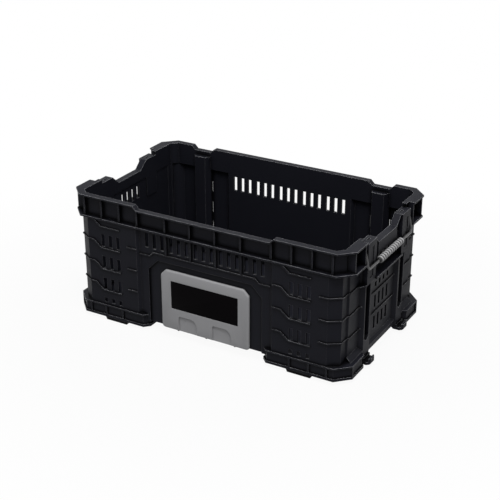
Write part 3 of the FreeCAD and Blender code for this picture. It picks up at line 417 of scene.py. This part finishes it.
bpy.ops.object.select_all(action="DESELECT")
bpy.ops.mesh.primitive_circle_add(
    vertices=40,
    radius=grip_bore,
    location=(bar.x, grip_low.y, bar.z),
    rotation=(math.radians(90), 0, 0),
)
grip = bpy.context.object
grip.name = "grip_right"
bpy.ops.object.transform_apply(location=True, rotation=True, scale=True)
stations = [(0, grip_end), (grip_collar * 0.3, grip_core), (grip_collar * 0.7, grip_core)]
for rib in range(grip_ribs):
    for share, swell in rib_profile:
        stations.append((rib_pitch * share, grip_core + rib_height * swell))
stations += [(grip_collar * 0.7, grip_core), (grip_collar * 0.3, grip_end), (0, grip_bore)]
bpy.ops.object.mode_set(mode="EDIT")
bpy.ops.mesh.select_all(action="SELECT")
along = grip_low.y
radius = grip_bore
for travel, wanted in stations:
    along += travel
    bpy.ops.mesh.extrude_region_move(TRANSFORM_OT_translate={"value": (0, travel, 0)})
    bpy.ops.transform.resize(
        value=(wanted / radius, 1, wanted / radius), center_override=(bar.x, along, bar.z)
    )
    radius = wanted
bpy.ops.mesh.select_all(action="DESELECT")
bpy.ops.mesh.select_non_manifold()
bpy.ops.mesh.bridge_edge_loops()
bpy.ops.mesh.select_all(action="SELECT")
bpy.ops.mesh.normals_make_consistent(inside=False)
bpy.ops.object.mode_set(mode="OBJECT")
bpy.ops.object.shade_smooth_by_angle(angle=math.radians(50))
grip_skin = moulded_plastic(
    "grip_sleeve_grain",
    grip_grey,
    grip_highlight_and_wear,
    grip_groove_shade,
    edge_radius=0.0003,
    side_highlight=1,
    shade_distance=None,
    gloss=(0.6, 0.5),
    specular=0.4,
)
sleeve = grip_skin.node_tree
sleeve_place = sleeve.nodes.new("ShaderNodeTexCoord")
either_end = vector_step(sleeve, "ABSOLUTE", sleeve_place.outputs["Object"])
off_bar = vector_step(sleeve, "SUBTRACT", either_end["Vector"], (bar.x, 0, bar.z))
square_to_bar = vector_step(sleeve, "MULTIPLY", off_bar["Vector"], (1, 0, 1))
from_bar = vector_step(sleeve, "LENGTH", square_to_bar["Vector"])
# Painted shade: the grooves are darkened by their distance from the bar, in place of the shade
# between the ribs.
groove_to_top = (grip_core + rib_height * 0.25, grip_core + rib_height * 0.9)
on_rib = remap(sleeve, from_bar["Value"], source=groove_to_top)
sleeve.links.new(on_rib, sleeve.nodes["shaded"].inputs["Factor"])
dress(grip, grip_skin)
bpy.ops.object.duplicate()
grip_left = bpy.context.object
grip_left.name = "grip_left"
bpy.ops.transform.rotate(value=math.pi, orient_axis="Z", center_override=(0, 0, 0))
bpy.ops.object.transform_apply(location=True, rotation=True, scale=True)
for piece, side in ((grip, "right"), (grip_left, "left")):
    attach(piece, f"{side}_bail")
    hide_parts(f"bail_grip_{side}")

# Floor: a wide sheet of pale paper that the crate stands on. It shows white, all the
# more so away from the crate, and keeps the crate's soft shadow close by.
floor_reach = 12
floor_grey = (0.3, 0.3, 0.3, 1)
shadow_reach = (0.35, 0.8)
shadow_white = (0.94, 1)


def seen_white(tree):
    """One for what the camera sees, straight or in gloss and clear pieces."""
    ray = tree.nodes.new("ShaderNodeLightPath").outputs
    shiny = work_out(tree, "MAXIMUM", ray["Is Glossy Ray"], ray["Is Transmission Ray"])
    return work_out(tree, "MAXIMUM", ray["Is Camera Ray"], shiny)


def either_shader(tree, amount, first, second):
    """Mix of two shaders."""
    mix = tree.nodes.new("ShaderNodeMixShader")
    tree.links.new(amount, mix.inputs["Fac"])
    tree.links.new(first, mix.inputs[1])
    tree.links.new(second, mix.inputs[2])
    return mix.outputs["Shader"]


bpy.ops.object.select_all(action="DESELECT")
bpy.ops.mesh.primitive_plane_add(size=floor_reach, location=(0, 0, 0))
floor = bpy.context.object
floor.name = "floor"
paper, paper_tree, paper_skin = new_finish("floor_paper")
paper_skin.inputs["Base Color"].default_value = floor_grey
paper_skin.inputs["Roughness"].default_value = 0.9
paper_place = paper_tree.nodes.new("ShaderNodeTexCoord")
from_crate = vector_step(paper_tree, "LENGTH", paper_place.outputs["Object"])
whiteness = remap(paper_tree, from_crate["Value"], shadow_reach, shadow_white)
paper_share = work_out(paper_tree, "MULTIPLY", seen_white(paper_tree), whiteness)
paper_white = paper_tree.nodes.new("ShaderNodeEmission")
paper_surface = either_shader(
    paper_tree, paper_share, paper_skin.outputs["BSDF"], paper_white.outputs["Emission"]
)
paper_tree.links.new(paper_surface, paper_tree.nodes["Material Output"].inputs["Surface"])
dress(floor, paper)

# Room light: an even, weak light from all round that grows towards the ceiling,
# in front of a white backdrop.
ceiling_height = 0.9
room_levels = (0.13, 0.8)

world = bpy.data.worlds.new("studio")
world.use_nodes = True
room = world.node_tree
room_light = room.nodes["Background"]
room_light.inputs["Color"].default_value = (1, 1, 1, 1)
room_place = room.nodes.new("ShaderNodeTexCoord")
room_height = room.nodes.new("ShaderNodeSeparateXYZ")
room.links.new(room_place.outputs["Generated"], room_height.inputs["Vector"])
room_level = remap(room, room_height.outputs["Z"], (0, ceiling_height), room_levels)
room.links.new(room_level, room_light.inputs["Strength"])
backdrop = room.nodes.new("ShaderNodeBackground")
backdrop.inputs["Color"].default_value = (1, 1, 1, 1)
room_surface = either_shader(
    room, seen_white(room), room_light.outputs["Background"], backdrop.outputs["Background"]
)
room.links.new(room_surface, room.nodes["World Output"].inputs["Surface"])
bpy.context.scene.world = world

# Key lamp: one soft box high in front of the crate, a little to the right,
# turned to the crate.
key_place = (0.55, -0.85, 2.7)
key_size = 1.2
key_power = 100

bpy.ops.object.light_add(type="AREA", location=key_place)
key = bpy.context.object
key.name = "key_lamp"
key.data.size = key_size
key.data.energy = key_power
key.rotation_euler = (
    math.atan2(math.hypot(key_place[0], key_place[1]), key_place[2]),
    0,
    math.atan2(key_place[0], -key_place[1]),
)

# Camera: a long lens above the right of the front, as in the photograph.
camera_place = (0.9677, -1.6747, 1.0270)
camera_tilt = math.radians(65.029)
camera_turn = math.radians(29.947)
camera_lens = 83.85
camera_film = 36

bpy.ops.object.camera_add(location=camera_place, rotation=(camera_tilt, 0, camera_turn))
camera = bpy.context.object
camera.data.lens = camera_lens
camera.data.sensor_width = camera_film
bpy.context.scene.camera = camera
bpy.context.scene.view_settings.view_transform = "Standard"
